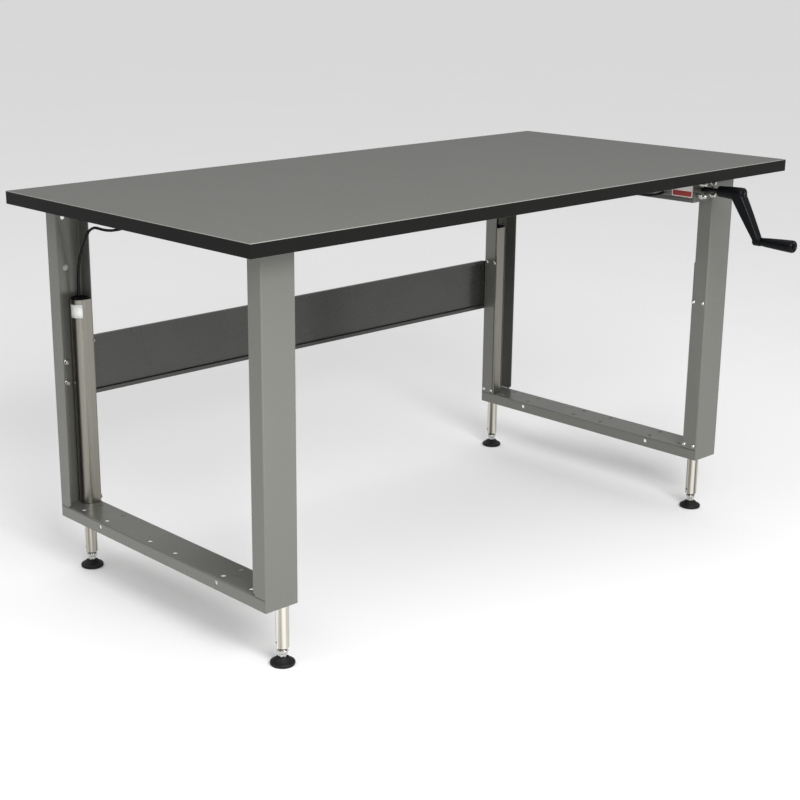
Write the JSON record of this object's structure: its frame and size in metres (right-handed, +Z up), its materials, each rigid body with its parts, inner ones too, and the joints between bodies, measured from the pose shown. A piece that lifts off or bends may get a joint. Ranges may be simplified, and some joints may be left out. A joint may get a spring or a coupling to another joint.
{
  "type": "height adjustable standing desk",
  "caption": "Rectangular worktop on channel-steel side frames; a hand crank pumps oil to a cylinder in every leg, raising the desk on chromed rods with levelling feet.",
  "frame": {"origin": "on the floor under the middle of the whole desk, crank included, at the height it stands in the picture", "axes": "+Z up, +X to the right along the worktop, +Y to the back; the user and the crank are at -Y"},
  "size_m": [1.524, 0.934, 0.8082],
  "materials": {
    "frame_powder_coat": "semi-gloss grey powder coat",
    "stretcher_powder_coat": "semi-gloss dark grey powder coat",
    "pump_tray_coat": "satin grey powder coat",
    "aluminium": "clear anodised extrusion",
    "chrome_rod": "ground and hard chromed",
    "bronze": "sintered bearing bronze",
    "black_plastic": "fine moulded grain",
    "black_rubber": "smooth moulded rubber",
    "worktop_laminate": "satin decorative laminate",
    "edge_band": "satin edge band",
    "core_board": "particle board",
    "backer": "plain backing laminate",
    "zinc_plate": "bright zinc plate"
  },
  "bodies": {
    "rod_front_left": {"lift_rod_front_left": "chrome_rod", "lock_nut_front_left": "zinc_plate"},
    "frame": {"barrel_back_left": "aluminium", "barrel_back_right": "aluminium", "barrel_front_left": "aluminium", "barrel_front_right": "aluminium", "base_channel_left": "frame_powder_coat", "base_channel_right": "frame_powder_coat", "bleed_plug_1": "zinc_plate", "bleed_plug_2": "zinc_plate", "bleed_plug_3": "zinc_plate", "bleed_plug_4": "zinc_plate", "cylinder_cap_back_left": "black_plastic", "cylinder_cap_back_right": "black_plastic", "cylinder_cap_front_left": "black_plastic", "cylinder_cap_front_right": "black_plastic", "hose_back_left": "black_rubber", "hose_back_right": "black_rubber", "hose_front_left": "black_rubber", "hose_front_right": "black_rubber", "leg_back_left": "frame_powder_coat", "leg_back_right": "frame_powder_coat", "leg_front_left": "frame_powder_coat", "leg_front_right": "frame_powder_coat", "pump_block": "aluminium", "pump_tray": "pump_tray_coat", "rod_guide_back_left": "bronze", "rod_guide_back_right": "bronze", "rod_guide_front_left": "bronze", "rod_guide_front_right": "bronze", "stretcher": "stretcher_powder_coat", "top_rail_left": "frame_powder_coat", "top_rail_right": "frame_powder_coat", "worktop_backer": "backer", "worktop_core": "core_board", "worktop_edge_band": "edge_band", "worktop_laminate": "worktop_laminate"},
    "foot_front_left": {"foot_stud_front_left": "zinc_plate", "foot_pad_front_left": "black_rubber"},
    "rod_front_right": {"lift_rod_front_right": "chrome_rod", "lock_nut_front_right": "zinc_plate"},
    "foot_front_right": {"foot_stud_front_right": "zinc_plate", "foot_pad_front_right": "black_rubber"},
    "rod_back_left": {"lift_rod_back_left": "chrome_rod", "lock_nut_back_left": "zinc_plate"},
    "foot_back_left": {"foot_stud_back_left": "zinc_plate", "foot_pad_back_left": "black_rubber"},
    "rod_back_right": {"lift_rod_back_right": "chrome_rod", "lock_nut_back_right": "zinc_plate"},
    "foot_back_right": {"foot_stud_back_right": "zinc_plate", "foot_pad_back_right": "black_rubber"},
    "crank": {"pump_spindle": "zinc_plate", "crank_arm": "black_plastic", "crank_screw": "zinc_plate", "grip_pin": "zinc_plate"},
    "grip": {"crank_grip": "black_plastic"},
    "crosshead": {"pump_crosshead": "zinc_plate"}
  },
  "joints": [
    {"name": "lift", "type": "slide", "parent": "rod_front_left", "child": "frame", "axis": [0, 0, 1], "range_m": [-0.047, 0.258]},
    {"name": "crank_turn", "type": "hinge", "parent": "frame", "child": "crank", "pos_m": [0.55, -0.093, 0.7558], "axis": [0, 1, 0], "range_deg": [-3390, 18580]},
    {"name": "grip_spin", "type": "hinge", "parent": "crank", "child": "grip", "pos_m": [0.55, -0.4248, 0.6608], "axis": [0, 1, 0], "continuous": true},
    {"name": "crosshead_slide", "type": "slide", "parent": "frame", "child": "crosshead", "axis": [0, -1, 0], "range_m": [-0.0207, 0.1136]},
    {"name": "rod_slide_front_right", "type": "slide", "parent": "frame", "child": "rod_front_right", "axis": [0, 0, -1], "range_m": [-0.047, 0.258]},
    {"name": "rod_slide_back_left", "type": "slide", "parent": "frame", "child": "rod_back_left", "axis": [0, 0, -1], "range_m": [-0.047, 0.258]},
    {"name": "rod_slide_back_right", "type": "slide", "parent": "frame", "child": "rod_back_right", "axis": [0, 0, -1], "range_m": [-0.047, 0.258]},
    {"name": "level_front_left", "type": "slide", "parent": "rod_front_left", "child": "foot_front_left", "axis": [0, 0, -1], "range_m": [0, 0.012]},
    {"name": "level_front_right", "type": "slide", "parent": "rod_front_right", "child": "foot_front_right", "axis": [0, 0, -1], "range_m": [0, 0.012]},
    {"name": "level_back_left", "type": "slide", "parent": "rod_back_left", "child": "foot_back_left", "axis": [0, 0, -1], "range_m": [0, 0.012]},
    {"name": "level_back_right", "type": "slide", "parent": "rod_back_right", "child": "foot_back_right", "axis": [0, 0, -1], "range_m": [0, 0.012]}
  ],
  "couplings": [
    {"joint": "crank_turn", "follows": "lift", "rad_per_m": 1256.6},
    {"joint": "crosshead_slide", "follows": "lift", "ratio": 0.44},
    {"joint": "rod_slide_front_right", "follows": "lift", "ratio": 1},
    {"joint": "rod_slide_back_left", "follows": "lift", "ratio": 1},
    {"joint": "rod_slide_back_right", "follows": "lift", "ratio": 1}
  ]
}
